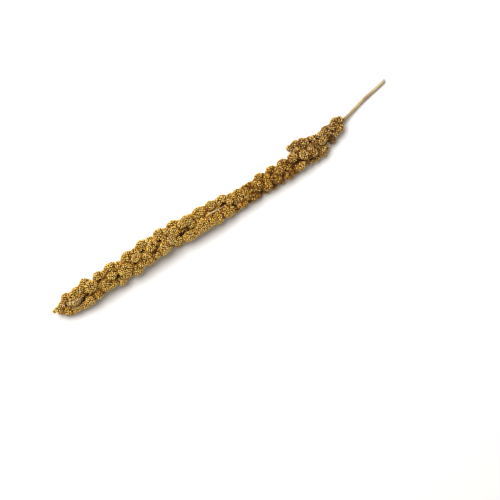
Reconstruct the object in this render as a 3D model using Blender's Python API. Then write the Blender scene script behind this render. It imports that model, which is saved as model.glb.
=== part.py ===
"""A dried spray of foxtail millet lying on its side: a seed head on a bare stalk.

The head hugs a slim rachis. Its branchlets are round clusters of seeds, each raised
from the cluster as a blunt point, larger than life. The whole lies on small flat spots.
"""

import math
import random

import bmesh
import bpy
from mathutils import Matrix, Vector

MM = 0.001

# Driving dimensions, in millimetres. Stations run along X from the tip of the head.
WHOLE_LENGTH = 305.0
MIDDLE_STATION = 152.0
STALK_START = 254.0
STALK_RADIUS_AT_HEAD = 1.15
STALK_RADIUS_AT_CUT = 1.3
STALK_SPACING = 5.0
CUT_SLANT_DEG = -38
CUT_SPARE = 1.5
SOCKET_LENGTH = 10.0
FIT_GAP = 0.3

# The stem's line: station, across (+Y) and height of its middle above the surface.
STEM_LINE = (
    (0, 6.9, 4.2),
    (15, 5.5, 6.4),
    (45, 4.7, 8.2),
    (80, 3.6, 8.5),
    (105, 2.7, 8.2),
    (130, 0.4, 7.8),
    (155, -2.0, 7.1),
    (180, -3.8, 6.4),
    (212, -4.8, 6.3),
    (240, -2.4, 5.6),
    (262, 0.2, 3.7),
    (280, 3.7, 2.4),
    (304, 6.9, 1.7),
)

# How far the clusters reach from the stem's line: station and radius.
HEAD_GIRTH = (
    (0, 2.8),
    (10, 7.2),
    (22, 8.8),
    (31, 10.0),
    (45, 9.5),
    (85, 10.6),
    (125, 10.0),
    (150, 9.4),
    (170, 7.8),
    (190, 7.8),
    (230, 8.2),
    (245, 6.6),
    (262, 5.8),
)

# The rachis with its close branchlets, a core under the clusters: station and radius.
CORE_GIRTH = (
    (3, 1.4),
    (20, 3.8),
    (50, 4.2),
    (130, 4.0),
    (165, 3.6),
    (215, 3.4),
    (232, 2.8),
    (246, 2.4),
    (260, 2.3),
)
CORE_SPACING = 8.0

# Clusters that face up: station, across, half width, length for its width, and the way
# that the length points in plan, in degrees from +X. Their height follows the girth, and
# the last of them are a side branchlet that points towards the head's tip.
UPPER_CLUSTERS = (
    (1.4, 7.3, 1.8, 1.3, 0),
    (4.4, 6.9, 2.5, 1.2, 0),
    (6.2, 4.5, 2.9, 1.15, 0),
    (8.5, 7.4, 2.9, 1.1, 0),
    (10.5, 1.6, 3.5, 1.1, -10),
    (15.5, -0.3, 3.3, 1.3, -5),
    (14.5, 10.1, 4.2, 1.1, 5),
    (19.2, 4.6, 4.1, 1.25, -12),
    (23.8, 9.2, 4.3, 1.12, 0),
    (22.5, -2, 2.8, 1.3, 0),
    (29.5, -1.7, 4, 1.15, 8),
    (32.3, 10.8, 4.4, 1.08, 0),
    (35.2, 6, 4.7, 1.1, 10),
    (37.2, -1, 2.8, 1.2, 0),
    (43.8, 9.3, 4.3, 1.08, 0),
    (45.2, 1.1, 5.2, 1.12, 15),
    (52.5, 4, 3.4, 1.1, 0),
    (55, 9.1, 4.5, 1.5, -3),
    (56.3, -3.3, 3.6, 1.2, 0),
    (63.8, 2.2, 5.3, 1.15, 0),
    (70.3, 8.9, 4.4, 1.45, 5),
    (71.2, -2.8, 4.4, 1.2, 10),
    (75.5, 4.6, 3.6, 1.2, 0),
    (82, -1.1, 5.2, 1.15, 10),
    (84, 9.2, 5, 1.1, 0),
    (88.8, 4.3, 3.4, 1.15, 0),
    (97, -1.9, 4.5, 1.4, 15),
    (99.3, 8.7, 4.9, 1.2, 8),
    (104.5, 0, 3.6, 1.15, 30),
    (109.5, 3.9, 4.2, 1.15, 20),
    (110.8, 8.9, 4.1, 1.35, 0),
    (118, -4.8, 4.3, 1.5, -3),
    (121.2, 5.8, 4.3, 1.35, 0),
    (132.5, 5.4, 4.4, 1.5, 0),
    (131, -4.4, 5, 1.3, 0),
    (142.8, 4.7, 4, 1.15, 0),
    (142.2, -6.2, 4.7, 1.1, 0),
    (152.5, 2.9, 4.3, 1.3, 0),
    (151.8, -6.3, 4.7, 1.22, 0),
    (156.3, -1.3, 2.4, 1.2, 0),
    (164.6, -1.4, 5.5, 1, 0),
    (163.5, -7.8, 3.2, 1.5, 0),
    (175, -1.2, 4.6, 1.05, 0),
    (174.5, -8, 3.3, 1.45, 0),
    (185, -0.4, 5.1, 1.1, 0),
    (186.3, -7.7, 3.8, 1.25, 0),
    (195.3, 0.2, 3.9, 1.25, 0),
    (195.3, -7.3, 4.1, 1.1, 0),
    (205, -1.4, 4.8, 1.05, 0),
    (204.5, -9.9, 3.5, 1.4, 0),
    (214.3, -1, 3.9, 1.2, 0),
    (215.6, -10.1, 3, 1.8, 0),
    (221.6, -4, 3.4, 1.1, 60),
    (223.5, -10.3, 3.1, 1.2, 0),
    (226.4, 1.6, 4.2, 1.1, 0),
    (230, -4.8, 3.2, 1.2, 0),
    (235, 0, 4.4, 1.22, 0),
    (235, -9, 5.2, 1.08, 20),
    (240.8, 0.7, 3, 1.2, 0),
    (246.2, 0.3, 4.7, 1.1, 5),
    (246.2, -6.8, 3.3, 1, 0),
    (256.2, 1.7, 4.6, 1.1, 0),
    (255.8, -3.1, 3.3, 1.25, 0),
    (229, -7.4, 3.2, 1.1, 0),
    (229, -11.4, 3, 1.1, 0),
    (239.2, -3.6, 3.2, 1.1, 0),
    (241.8, -3.2, 2.6, 1.1, 0),
    (239.4, -8.6, 3.2, 1.1, 0),
    (250.9, 0.5, 3.8, 1.1, 0),
    (251, -5.2, 2.6, 1.1, 0),
    (259.1, 1.5, 3.4, 1.1, 0),
    (219.5, 0.9, 2.8, 1.1, 0),
    (224, -6.6, 3, 1.1, 0),
    (200.2, -3.3, 4, 1.1, 0),
    (180, -3.6, 4.2, 1.1, 0),
    (190.2, -3.8, 4.2, 1.1, 0),
    (169.6, -4.6, 4.2, 1.1, 0),
    (19.3, 9.4, 3.2, 1.1, 0),
    (27.6, 9.8, 3.3, 1.1, 0),
    (38.2, 6.8, 3.2, 1.1, 0),
    (49.2, 8.7, 3, 1.1, 0),
    (61.6, 7.8, 3.1, 1.1, 0),
    (77.2, 8.6, 3.3, 1.1, 0),
    (91.6, 5.9, 3.2, 1.1, 0),
    (105.2, 7.6, 3.1, 1.1, 0),
    (116.6, 5.2, 2.8, 1.1, 0),
    (9.2, 0.4, 2.7, 1.1, 0),
    (19.5, -1.2, 2.8, 1.1, 0),
    (26, -2.2, 2.9, 1.1, 0),
    (36.6, -1.8, 3.3, 1.1, 0),
    (50.2, -1.2, 3.3, 1.1, 0),
    (62.8, -1.4, 3.3, 1.1, 0),
    (77, -1.6, 3.3, 1.1, 0),
    (90, -2, 3.4, 1.1, 0),
    (107.5, -2.6, 3.6, 1.1, 0),
    (125, -5.4, 3.6, 1.1, 0),
    (136.8, -5.8, 3.6, 1.1, 0),
    (216.8, 6, 3.2, 1.1, 0),
    (221.6, 5.8, 3.5, 1.1, 0),
    (226.6, 4.6, 3.7, 1.1, 0),
    (231.8, 2, 3.7, 1.1, 0),
    (236.6, 0.4, 3.6, 1.1, 0),
)

# Rows of clusters that face the surface: turn about the stem from the top towards +Y at
# the row's start and end, first station and number.
UNDER_ROWS = (
    (146, 128, 10.0, 19),
    (-146, -128, 16.0, 19),
)
UNDER_PITCH = 11.5
LAST_ROW_STATION = 223

# Single clusters under the stalk's end: station, turn, reach from the stem, radius.
LOOSE_CLUSTERS = (
    (231, 150, 3.4, 4.2),
    (246, 160, 2.4, 3.6),
)

# Rows of small clusters that fill the valleys: turn about the stem, first station, number,
# spacing, reach from the stem at the row's start and end, radius.
FILL_ROWS = (
    (0, 17, 29, 7.6, 2.7, 2.6, 3.8),
    (-104, 14, 16, 6.6, 5.6, 5.8, 3.3),
    (-104, 119, 9, 6.6, 6.7, 5.4, 3.3),
    (-104, 178, 8, 6.6, 5.3, 5.2, 3.2),
    (98, 122, 15, 6.6, 3.3, 3.0, 3.1),
)
UPPER_RISE = 1.2

# An under cluster's radius follows the room that its row leaves it.
RADIUS_START = 2.2
RADIUS_PER_SPACING = 0.26
RADIUS_SPREAD = 0.06
MOST_OF_GIRTH = 0.56
TURN_SPREAD_DEG = 12
CLUSTER_LEAN_DEG = 42
CLUSTER_STRETCH = 1.18
SEED_DIP = 0.84
HEAD_TRIANGLES = 11000
RANDOM_SEED = 7
TUBE_ROUNDING = 3
WELD_GAP = 0.001
SHARP_DEG = 50
SURFACE_SIZE = (400, 100, 20)

HEAD_COLOR = (0.50, 0.30, 0.09, 1)
STALK_COLOR = (0.66, 0.50, 0.25, 1)


def clear_scene():
    for item in list(bpy.data.objects):
        bpy.data.objects.remove(item, do_unlink=True)


def new_collection(name):
    collection = bpy.data.collections.new(name)
    bpy.context.scene.collection.children.link(collection)
    return collection


def new_material(name, color, roughness):
    material = bpy.data.materials.new(name)
    material.use_nodes = True
    shader = material.node_tree.nodes["Principled BSDF"]
    shader.inputs["Base Color"].default_value = color
    shader.inputs["Roughness"].default_value = roughness
    shader.inputs["Metallic"].default_value = 0
    return material


def between(table, station):
    """The values of a table at a station, on smooth curves through its rows."""
    last = len(table) - 2
    index = max(i for i in range(last + 1) if i == 0 or table[i][0] <= station)
    before = table[max(index - 1, 0)]
    start = table[index]
    end = table[index + 1]
    after = table[min(index + 2, last + 1)]
    span = end[0] - start[0]
    t = (station - start[0]) / span
    values = []
    for k in range(1, len(start)):
        slope_in = (end[k] - before[k]) / (end[0] - before[0]) * span
        slope_out = (after[k] - start[k]) / (after[0] - start[0]) * span
        values.append(
            (2 * t**3 - 3 * t**2 + 1) * start[k]
            + (t**3 - 2 * t**2 + t) * slope_in
            + (3 * t**2 - 2 * t**3) * end[k]
            + (t**3 - t**2) * slope_out
        )
    return values


def stem_at(station):
    across, up = between(STEM_LINE, station)
    return Vector((station - MIDDLE_STATION, across, up)) * MM


def stem_axes(station):
    """Directions at a station: to the tip, across, and away from the surface."""
    tipward = (stem_at(station - 1) - stem_at(station + 1)).normalized()
    across = Vector((0, 0, 1)).cross(-tipward).normalized()
    return tipward, across, (-tipward).cross(across).normalized()


def around_stem(station, turn_deg, reach):
    """A point beside the stem, and the direction from the stem to it."""
    _, across, upward = stem_axes(station)
    turn = math.radians(turn_deg)
    outward = upward * math.cos(turn) + across * math.sin(turn)
    return stem_at(station) + outward * reach * MM, outward


def mesh_object(name, mesh, collection):
    made = bpy.data.objects.new(name, mesh)
    collection.objects.link(made)
    return made


def evaluated_mesh(drawn, name):
    graph = bpy.context.evaluated_depsgraph_get()
    mesh = bpy.data.meshes.new_from_object(drawn.evaluated_get(graph))
    mesh.name = name
    return mesh


def tube(name, points, radii, collection):
    """A closed round tube through the points, with a radius in mm at each."""
    curve = bpy.data.curves.new(name, "CURVE")
    curve.dimensions = "3D"
    curve.bevel_depth = MM
    curve.bevel_resolution = TUBE_ROUNDING
    curve.use_fill_caps = True
    line = curve.splines.new("POLY")
    line.points.add(len(points) - 1)
    for knot, point, radius in zip(line.points, points, radii):
        knot.co = (*point, 1)
        knot.radius = radius
    drawn = mesh_object(name + "_line", curve, collection)
    mesh = evaluated_mesh(drawn, name)
    shape = bmesh.new()
    shape.from_mesh(mesh)
    bmesh.ops.remove_doubles(shape, verts=shape.verts, dist=WELD_GAP * MM)
    bmesh.ops.recalc_face_normals(shape, faces=shape.faces)
    shape.to_mesh(mesh)
    shape.free()
    made = mesh_object(name, mesh, collection)
    made.matrix_world = drawn.matrix_world
    bpy.data.objects.remove(drawn, do_unlink=True)
    return made


def hide_helper(item):
    item.hide_render = True
    item.display_type = "WIRE"
    return item


def slab_below(name, collection):
    """A wide slab whose top is the surface that the spray lies on."""
    shape = bmesh.new()
    bmesh.ops.create_cube(shape, size=1)
    bmesh.ops.translate(shape, vec=(0, 0, -0.5), verts=shape.verts)
    bmesh.ops.scale(shape, vec=Vector(SURFACE_SIZE) * MM, verts=shape.verts)
    mesh = bpy.data.meshes.new(name)
    shape.to_mesh(mesh)
    shape.free()
    return hide_helper(mesh_object(name, mesh, collection))


def knobbly_ball():
    """A ball of unit radius covered in blunt points, each one a seed."""
    shape = bmesh.new()
    bmesh.ops.create_cube(shape, size=2)
    bmesh.ops.subdivide_edges(shape, edges=shape.edges, cuts=1, use_grid_fill=True)
    for vert in shape.verts:
        vert.co = vert.co.normalized() * SEED_DIP
    poked = bmesh.ops.poke(shape, faces=shape.faces)
    for vert in poked["verts"]:
        vert.co.normalize()
    mesh = bpy.data.meshes.new("knobbly_ball")
    shape.to_mesh(mesh)
    shape.free()
    return mesh


class Branchlets:
    """Makes the seed clusters, with one seeded draw for all of them."""

    def __init__(self, collection):
        self.collection = collection
        self.ball = knobbly_ball()
        self.draw = random.Random(RANDOM_SEED)

    def cluster(self, centre, length_way, radius, stretch):
        """An egg of seeds, with its radius in mm and longer along length_way."""
        turned = length_way.to_track_quat("Z", "Y").to_matrix().to_4x4()
        twist = Matrix.Rotation(self.draw.uniform(0, math.tau), 4, "Z")
        size = radius * MM
        scale = Matrix.Diagonal((size, size, size * stretch, 1))
        mesh = self.ball.copy()
        mesh.transform(Matrix.Translation(centre) @ turned @ scale @ twist)
        mesh_object("cluster", mesh, self.collection)

    def upper(self, station, across, radius, stretch, heading_deg):
        """A cluster on the upper side, as high as the head's girth lets it sit."""
        stem = stem_at(station)
        reach = max(between(HEAD_GIRTH, station)[0] + UPPER_RISE - radius, 0) * MM
        aside = across * MM - stem.y
        height = stem.z + math.sqrt(max(reach**2 - aside**2, 0))
        heading = math.radians(heading_deg)
        way = Vector((math.cos(heading), math.sin(heading), 0))
        self.cluster(Vector((stem.x, across * MM, height)), way, radius, stretch)

    def leaning(self, station, turn, reach, radius):
        """A cluster that leans from the stem towards the head's tip."""
        centre, outward = around_stem(station, turn, reach)
        lean = math.radians(CLUSTER_LEAN_DEG)
        growth = outward * math.cos(lean) + stem_axes(station)[0] * math.sin(lean)
        self.cluster(centre, growth, radius, CLUSTER_STRETCH)

    def under_row(self, first_turn, last_turn, first_station, number):
        for i in range(number):
            station = first_station + UNDER_PITCH * i
            girth = between(HEAD_GIRTH, station)[0]
            spread = self.draw.uniform(1 - RADIUS_SPREAD, 1 + RADIUS_SPREAD)
            radius = (RADIUS_START + RADIUS_PER_SPACING * UNDER_PITCH) * spread
            radius = min(radius, girth * MOST_OF_GIRTH)
            jitter = self.draw.uniform(-TURN_SPREAD_DEG, TURN_SPREAD_DEG)
            turn = first_turn + (last_turn - first_turn) * station / LAST_ROW_STATION
            self.leaning(station, turn + jitter, girth - radius, radius)

    def fill_row(self, turn, first_station, number, spacing, first_reach, last_reach, radius):
        for i in range(number):
            station = first_station + spacing * i
            reach = first_reach + (last_reach - first_reach) * i / (number - 1)
            jitter = self.draw.uniform(-TURN_SPREAD_DEG, TURN_SPREAD_DEG)
            spread = self.draw.uniform(1 - RADIUS_SPREAD, 1 + RADIUS_SPREAD)
            self.leaning(station, turn + jitter, reach, radius * spread)


def biggest_piece(mesh):
    """Drops loose scraps and sealed inner shells, and leaves triangles."""
    shape = bmesh.new()
    shape.from_mesh(mesh)
    bmesh.ops.triangulate(shape, faces=shape.faces)
    waiting = set(shape.faces)
    pieces = []
    while waiting:
        edge = [waiting.pop()]
        piece = list(edge)
        while edge:
            near = {f for e in edge.pop().edges for f in e.link_faces} & waiting
            waiting -= near
            edge.extend(near)
            piece.extend(near)
        pieces.append(piece)
    pieces.sort(key=len)
    scraps = [face for piece in pieces[:-1] for face in piece]
    bmesh.ops.delete(shape, geom=scraps, context="FACES")
    shape.to_mesh(mesh)
    shape.free()


def apply_modifiers(item):
    mesh = evaluated_mesh(item, item.name)
    biggest_piece(mesh)
    item.modifiers.clear()
    item.data = mesh


def even_stations(first, last, spacing):
    count = math.ceil((last - first) / spacing)
    return [first + (last - first) * i / count for i in range(count + 1)]


def make_core(collection):
    """The rachis that the clusters are rooted in."""
    stations = even_stations(CORE_GIRTH[0][0], CORE_GIRTH[-1][0], CORE_SPACING)
    radii = [between(CORE_GIRTH, s)[0] for s in stations]
    return tube("seed_head", [stem_at(s) for s in stations], radii, collection)


def grow_clusters(collection):
    grown = Branchlets(collection)
    for place in UPPER_CLUSTERS:
        grown.upper(*place)
    for row in UNDER_ROWS:
        grown.under_row(*row)
    for place in LOOSE_CLUSTERS:
        grown.leaning(*place)
    for row in FILL_ROWS:
        grown.fill_row(*row)


def fuse_clusters(head, clusters):
    """Joins all the clusters to the core in one body, and thins its faces."""
    join = head.modifiers.new("join", "BOOLEAN")
    join.operation = "UNION"
    join.operand_type = "COLLECTION"
    join.collection = clusters
    apply_modifiers(head)
    for item in list(clusters.objects):
        bpy.data.objects.remove(item, do_unlink=True)
    thin = head.modifiers.new("thin", "DECIMATE")
    thin.ratio = HEAD_TRIANGLES / len(head.data.polygons)
    apply_modifiers(head)


def cut_away(head, name, cutter):
    cut = head.modifiers.new(name, "BOOLEAN")
    cut.operation = "DIFFERENCE"
    cut.object = cutter


def make_socket(collection):
    """The hole in the head's end that holds the stalk with a small gap."""
    points = [stem_at(STALK_START - FIT_GAP), stem_at(STALK_START + SOCKET_LENGTH)]
    radii = [STALK_RADIUS_AT_HEAD + FIT_GAP] * len(points)
    return hide_helper(tube("socket_cut", points, radii, collection))


def make_head(parts, clusters, helpers):
    head = make_core(parts)
    grow_clusters(clusters)
    fuse_clusters(head, clusters)
    # The surface presses the lowest clusters flat.
    cut_away(head, "press", slab_below("surface_cut", helpers))
    cut_away(head, "bore", make_socket(helpers))
    apply_modifiers(head)
    return head


def make_stalk(collection):
    """The bare stalk, a little thicker at its slanting cut end."""
    end = WHOLE_LENGTH + CUT_SPARE
    stations = even_stations(STALK_START, end, STALK_SPACING)
    widening = (STALK_RADIUS_AT_CUT - STALK_RADIUS_AT_HEAD) / (end - STALK_START)
    radii = [STALK_RADIUS_AT_HEAD + widening * (s - STALK_START) for s in stations]
    stalk = tube("stalk", [stem_at(s) for s in stations], radii, collection)
    shape = bmesh.new()
    shape.from_mesh(stalk.data)
    slant = Matrix.Rotation(math.radians(CUT_SLANT_DEG), 3, "Z")
    cut = bmesh.ops.bisect_plane(
        shape,
        geom=shape.verts[:] + shape.edges[:] + shape.faces[:],
        plane_co=stem_at(WHOLE_LENGTH),
        plane_no=slant @ -stem_axes(WHOLE_LENGTH)[0],
        clear_outer=True,
    )
    rim = [item for item in cut["geom_cut"] if isinstance(item, bmesh.types.BMEdge)]
    bmesh.ops.contextual_create(shape, geom=rim)
    bmesh.ops.recalc_face_normals(shape, faces=shape.faces)
    shape.to_mesh(stalk.data)
    shape.free()
    return stalk


def main():
    clear_scene()
    parts = new_collection("millet_seed_head")
    clusters = new_collection("clusters")
    helpers = new_collection("helpers")
    head = make_head(parts, clusters, helpers)
    stalk = make_stalk(parts)
    for item in (head, stalk):
        item.data.shade_smooth()
        item.data.set_sharp_from_angle(angle=math.radians(SHARP_DEG))
    head.data.materials.append(new_material("seeds", HEAD_COLOR, 0.55))
    stalk.data.materials.append(new_material("straw", STALK_COLOR, 0.5))


main()
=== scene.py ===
import math
import random

import bmesh
import bpy
from mathutils import Matrix, Vector, noise


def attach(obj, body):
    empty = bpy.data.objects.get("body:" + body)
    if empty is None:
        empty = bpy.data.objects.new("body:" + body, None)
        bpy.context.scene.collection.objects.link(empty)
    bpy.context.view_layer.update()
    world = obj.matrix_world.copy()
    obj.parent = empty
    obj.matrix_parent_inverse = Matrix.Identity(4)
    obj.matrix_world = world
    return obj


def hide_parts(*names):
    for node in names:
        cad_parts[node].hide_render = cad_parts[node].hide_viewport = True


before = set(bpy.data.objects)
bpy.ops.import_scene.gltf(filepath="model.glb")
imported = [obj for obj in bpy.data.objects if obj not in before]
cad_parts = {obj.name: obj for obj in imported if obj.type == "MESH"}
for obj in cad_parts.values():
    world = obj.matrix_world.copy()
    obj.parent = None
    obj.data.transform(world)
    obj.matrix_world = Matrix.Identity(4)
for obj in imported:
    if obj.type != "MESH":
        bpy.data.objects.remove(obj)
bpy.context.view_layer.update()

mm = 0.001
up = Vector((0, 0, 1))
print("frame loaded")


# the stem's line and the clusters on it, as in the solid head
stem = {
    "length": 305,
    "middle": 152,
    # station from the tip, across and height, in mm
    "line": (
        (0, 6.9, 4.2),
        (15, 5.5, 6.4),
        (45, 4.7, 8.2),
        (80, 3.6, 8.5),
        (105, 2.7, 8.2),
        (130, 0.4, 7.8),
        (155, -2.0, 7.1),
        (180, -3.8, 6.4),
        (212, -4.8, 6.3),
        (240, -2.4, 5.6),
        (262, 0.2, 3.7),
        (280, 3.7, 2.4),
        (304, 6.9, 1.7),
    ),
    "core": (
        (3, 1.4),
        (20, 3.8),
        (50, 4.2),
        (130, 4.0),
        (165, 3.6),
        (215, 3.4),
        (232, 2.8),
        (246, 2.4),
        (260, 2.3),
    ),
}

head = {
    "seed": 7,
    "length": 262,
    "girth": (
        (0, 2.8),
        (10, 7.2),
        (22, 8.8),
        (31, 10.0),
        (45, 9.5),
        (85, 10.6),
        (125, 10.0),
        (150, 9.4),
        (170, 7.8),
        (190, 7.8),
        (230, 8.2),
        (245, 6.6),
        (262, 5.8),
    ),
    # station, across, half width, length for its width, way of the length in plan
    "upper": (
        (1.4, 7.3, 1.8, 1.3, 0),
        (4.4, 6.9, 2.5, 1.2, 0),
        (6.2, 4.5, 2.9, 1.15, 0),
        (8.5, 7.4, 2.9, 1.1, 0),
        (10.5, 1.6, 3.5, 1.1, -10),
        (15.5, -0.3, 3.3, 1.3, -5),
        (14.5, 10.1, 4.2, 1.1, 5),
        (19.2, 4.6, 4.1, 1.25, -12),
        (23.8, 9.2, 4.3, 1.12, 0),
        (22.5, -2, 2.8, 1.3, 0),
        (29.5, -1.7, 4, 1.15, 8),
        (32.3, 10.8, 4.4, 1.08, 0),
        (35.2, 6, 4.7, 1.1, 10),
        (37.2, -1, 2.8, 1.2, 0),
        (43.8, 9.3, 4.3, 1.08, 0),
        (45.2, 1.1, 5.2, 1.12, 15),
        (52.5, 4, 3.4, 1.1, 0),
        (55, 9.1, 4.5, 1.5, -3),
        (56.3, -3.3, 3.6, 1.2, 0),
        (63.8, 2.2, 5.3, 1.15, 0),
        (70.3, 8.9, 4.4, 1.45, 5),
        (71.2, -2.8, 4.4, 1.2, 10),
        (75.5, 4.6, 3.6, 1.2, 0),
        (82, -1.1, 5.2, 1.15, 10),
        (84, 9.2, 5, 1.1, 0),
        (88.8, 4.3, 3.4, 1.15, 0),
        (97, -1.9, 4.5, 1.4, 15),
        (99.3, 8.7, 4.9, 1.2, 8),
        (104.5, 0, 3.6, 1.15, 30),
        (109.5, 3.9, 4.2, 1.15, 20),
        (110.8, 8.9, 4.1, 1.35, 0),
        (118, -4.8, 4.3, 1.5, -3),
        (121.2, 5.8, 4.3, 1.35, 0),
        (132.5, 5.4, 4.4, 1.5, 0),
        (131, -4.4, 5, 1.3, 0),
        (142.8, 4.7, 4, 1.15, 0),
        (142.2, -6.2, 4.7, 1.1, 0),
        (152.5, 2.9, 4.3, 1.3, 0),
        (151.8, -6.3, 4.7, 1.22, 0),
        (156.3, -1.3, 2.4, 1.2, 0),
        (164.6, -1.4, 5.5, 1, 0),
        (163.5, -7.8, 3.2, 1.5, 0),
        (175, -1.2, 4.6, 1.05, 0),
        (174.5, -8, 3.3, 1.45, 0),
        (185, -0.4, 5.1, 1.1, 0),
        (186.3, -7.7, 3.8, 1.25, 0),
        (195.3, 0.2, 3.9, 1.25, 0),
        (195.3, -7.3, 4.1, 1.1, 0),
        (205, -1.4, 4.8, 1.05, 0),
        (204.5, -9.9, 3.5, 1.4, 0),
        (214.3, -1, 3.9, 1.2, 0),
        (215.6, -10.1, 3, 1.8, 0),
        (221.6, -4, 3.4, 1.1, 60),
        (223.5, -10.3, 3.1, 1.2, 0),
        (226.4, 1.6, 4.2, 1.1, 0),
        (230, -4.8, 3.2, 1.2, 0),
        (235, 0, 4.4, 1.22, 0),
        (235, -9, 5.2, 1.08, 20),
        (240.8, 0.7, 3, 1.2, 0),
        (246.2, 0.3, 4.7, 1.1, 5),
        (246.2, -6.8, 3.3, 1, 0),
        (256.2, 1.7, 4.6, 1.1, 0),
        (255.8, -3.1, 3.3, 1.25, 0),
        (229, -7.4, 3.2, 1.1, 0),
        (229, -11.4, 3, 1.1, 0),
        (239.2, -3.6, 3.2, 1.1, 0),
        (241.8, -3.2, 2.6, 1.1, 0),
        (239.4, -8.6, 3.2, 1.1, 0),
        (250.9, 0.5, 3.8, 1.1, 0),
        (251, -5.2, 2.6, 1.1, 0),
        (259.1, 1.5, 3.4, 1.1, 0),
        (219.5, 0.9, 2.8, 1.1, 0),
        (224, -6.6, 3, 1.1, 0),
        (200.2, -3.3, 4, 1.1, 0),
        (180, -3.6, 4.2, 1.1, 0),
        (190.2, -3.8, 4.2, 1.1, 0),
        (169.6, -4.6, 4.2, 1.1, 0),
        (19.3, 9.4, 3.2, 1.1, 0),
        (27.6, 9.8, 3.3, 1.1, 0),
        (38.2, 6.8, 3.2, 1.1, 0),
        (49.2, 8.7, 3, 1.1, 0),
        (61.6, 7.8, 3.1, 1.1, 0),
        (77.2, 8.6, 3.3, 1.1, 0),
        (91.6, 5.9, 3.2, 1.1, 0),
        (105.2, 7.6, 3.1, 1.1, 0),
        (116.6, 5.2, 2.8, 1.1, 0),
        (9.2, 0.4, 2.7, 1.1, 0),
        (19.5, -1.2, 2.8, 1.1, 0),
        (26, -2.2, 2.9, 1.1, 0),
        (36.6, -1.8, 3.3, 1.1, 0),
        (50.2, -1.2, 3.3, 1.1, 0),
        (62.8, -1.4, 3.3, 1.1, 0),
        (77, -1.6, 3.3, 1.1, 0),
        (90, -2, 3.4, 1.1, 0),
        (107.5, -2.6, 3.6, 1.1, 0),
        (125, -5.4, 3.6, 1.1, 0),
        (136.8, -5.8, 3.6, 1.1, 0),
        (216.6, 6.2, 2.8, 1.1, 0),
        (221.6, 5.8, 3.5, 1.1, 0),
        (226.6, 4.6, 3.7, 1.1, 0),
        (231.8, 2, 3.7, 1.1, 0),
        (236.6, 0.4, 3.6, 1.1, 0),
    ),
    # turns at the tip and the stalk, first station, number
    "underRows": ((146, 128, 10.0, 19), (-146, -128, 16.0, 19)),
    "underPitch": 11.5,
    "lastRowStation": 223,
    # station, turn, reach, radius
    "loose": ((231, 150, 3.4, 4.2), (246, 160, 2.4, 3.6)),
    # seeds round the core's end: station, radius, length for its width
    "tipCover": (5.4, 2.9, 1.3),
    # turn, first station, number, spacing, reach at the row's start and end, radius
    "fillRows": (
        (0, 17, 29, 7.6, 2.7, 2.6, 3.8),
        (-104, 14, 16, 6.6, 5.6, 5.8, 3.3),
        (-104, 119, 9, 6.6, 6.7, 5.4, 3.3),
        (-104, 178, 8, 6.6, 5.3, 5.2, 3.2),
        (98, 122, 15, 6.6, 3.3, 3.0, 3.1),
    ),
    "upperRise": 1.2,
    "radiusStart": 2.2,
    "radiusPerSpacing": 0.26,
    "radiusSpread": 0.06,
    "mostOfGirth": 0.56,
    "turnSpread": 12,
    "lean": 42,
    "stretch": 1.18,
}


def between(table, station):
    # smooth curves through the rows of a table
    last = len(table) - 2
    row = max(i for i in range(last + 1) if i == 0 or table[i][0] <= station)
    before, start = table[max(row - 1, 0)], table[row]
    end, after = table[row + 1], table[min(row + 2, last + 1)]
    span = end[0] - start[0]
    t = (station - start[0]) / span
    values = []
    for k in range(1, len(start)):
        slopeIn = (end[k] - before[k]) / (end[0] - before[0]) * span
        slopeOut = (after[k] - start[k]) / (after[0] - start[0]) * span
        values.append(
            (2 * t**3 - 3 * t**2 + 1) * start[k]
            + (t**3 - 2 * t**2 + t) * slopeIn
            + (3 * t**2 - 2 * t**3) * end[k]
            + (t**3 - t**2) * slopeOut
        )
    return values


def stemAt(station):
    across, height = between(stem["line"], station)
    return Vector((station - stem["middle"], across, height)) * mm


def stemAxes(station):
    tipward = (stemAt(station - 1) - stemAt(station + 1)).normalized()
    across = up.cross(-tipward).normalized()
    return tipward, across, (-tipward).cross(across).normalized()


def aroundStem(station, turn, reach):
    across, upward = stemAxes(station)[1:]
    turn = math.radians(turn)
    outward = upward * math.cos(turn) + across * math.sin(turn)
    return stemAt(station) + outward * reach * mm, outward


def addCluster(clusters, draw, station, centre, lengthWay, radius, stretch):
    turned = lengthWay.to_track_quat("Z", "Y").to_matrix().to_4x4()
    twist = Matrix.Rotation(draw.uniform(0, math.tau), 4, "Z")
    size = radius * mm
    scale = Matrix.Diagonal((size, size, size * stretch, 1))
    place = Matrix.Translation(centre) @ turned @ scale @ twist
    clusters.append({
        "station": station,
        "radius": radius,
        "stretch": stretch,
        "centre": centre,
        "place": place,
        "inverse": place.inverted(),
    })


def addUpper(clusters, draw, station, across, radius, stretch, heading):
    middle = stemAt(station)
    reach = max(between(head["girth"], station)[0] + head["upperRise"] - radius, 0) * mm
    height = middle.z + math.sqrt(max(reach**2 - (across * mm - middle.y) ** 2, 0))
    heading = math.radians(heading)
    way = Vector((math.cos(heading), math.sin(heading), 0))
    addCluster(clusters, draw, station, Vector((middle.x, across * mm, height)), way, radius, stretch)


def addLeaning(clusters, draw, station, turn, reach, radius):
    centre, outward = aroundStem(station, turn, reach)
    lean = math.radians(head["lean"])
    growth = outward * math.cos(lean) + stemAxes(station)[0] * math.sin(lean)
    addCluster(clusters, draw, station, centre, growth, radius, head["stretch"])


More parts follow.
